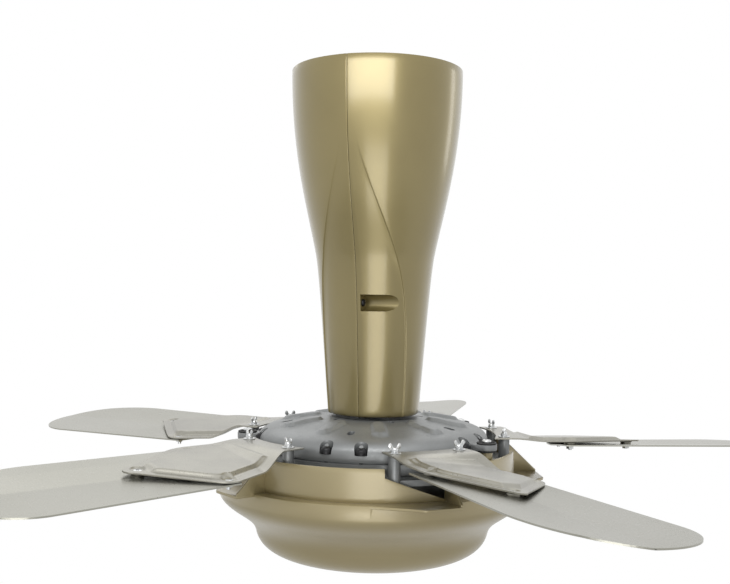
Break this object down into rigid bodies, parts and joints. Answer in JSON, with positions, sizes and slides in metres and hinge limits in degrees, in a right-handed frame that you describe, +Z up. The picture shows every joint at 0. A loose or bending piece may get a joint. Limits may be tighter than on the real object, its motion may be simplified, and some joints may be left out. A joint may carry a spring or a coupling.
{
  "type": "ceiling fan",
  "caption": "Ceiling fan on a short down rod with a vase-shaped canopy, folded sheet blades on pressed brackets, an outer-rotor motor and a bowl-shaped cover that turns with the blades.",
  "frame": {"origin": "middle of the ceiling bracket's top face, on the ceiling plane, midway between its two bolt holes", "axes": "+Z straight up along the fan's axis, towards the ceiling; X along the row of the two bolt holes; the picture was taken from the -Y side"},
  "size_m": [0.8962, 0.8885, 0.547],
  "materials": {
    "gold_paint": "satin champagne gold metallic paint",
    "gold_plastic": "satin champagne gold painted plastic",
    "cast_aluminium": "die cast, fine satin",
    "blade_sheet": "satin silver-grey coated sheet",
    "bracket_steel": "satin warm grey paint on pressed steel",
    "zinc_steel": "zinc plated",
    "dark_steel": "dark plated",
    "shaft_steel": "turned",
    "core_steel": "stacked electrical sheet",
    "copper_wire": "enamelled copper wire",
    "magnet": "ferrite",
    "rubber": "moulded rubber",
    "nylon": "moulded nylon",
    "case_plastic": "moulded",
    "board": "glass fibre board with its parts"
  },
  "bodies": {
    "hanger": {"hanger_bracket": "zinc_steel", "hanger_bolt": "zinc_steel", "hanger_nut": "zinc_steel", "split_pin": "zinc_steel"},
    "pendant": {"swing_bush": "nylon", "down_rod": "gold_paint", "rod_bolt": "zinc_steel", "rod_nut": "zinc_steel", "canopy_left": "gold_plastic", "canopy_right": "gold_plastic", "canopy_screws": "dark_steel", "canopy_collar": "cast_aluminium", "collar_screw": "dark_steel", "driver_tray": "zinc_steel", "tray_screw": "dark_steel", "driver_case": "case_plastic", "driver_board": "board", "driver_lid": "case_plastic", "terminal_block": "nylon", "motor_shaft": "shaft_steel", "shaft_nut": "zinc_steel", "stator_hub": "cast_aluminium", "stator_core": "core_steel", "stator_windings": "copper_wire"},
    "rotor": {"upper_bearing": "shaft_steel", "lower_bearing": "shaft_steel", "upper_housing": "cast_aluminium", "lower_housing": "cast_aluminium", "rotor_yoke": "core_steel", "magnet_ring": "magnet", "housing_screws": "dark_steel", "lug_bushes": "rubber", "cover_screws": "zinc_steel", "blade_bracket_1": "bracket_steel", "blade_bracket_2": "bracket_steel", "blade_bracket_3": "bracket_steel", "blade_bracket_4": "bracket_steel", "blade_bracket_5": "bracket_steel", "blade_1": "blade_sheet", "blade_2": "blade_sheet", "blade_3": "blade_sheet", "blade_4": "blade_sheet", "blade_5": "blade_sheet", "wing_screws": "zinc_steel", "blade_screws": "zinc_steel", "blade_nuts": "zinc_steel", "body_cover": "gold_plastic", "bottom_cap": "gold_plastic"}
  },
  "joints": [
    {"name": "hanger_swing", "type": "hinge", "parent": "hanger", "child": "pendant", "pos_m": [0, 0, -0.032], "axis": [0, 1, 0], "range_deg": [-3, 3]},
    {"name": "rotor_spin", "type": "hinge", "parent": "pendant", "child": "rotor", "pos_m": [0, 0, -0.45], "axis": [0, 0, 1], "continuous": true}
  ]
}
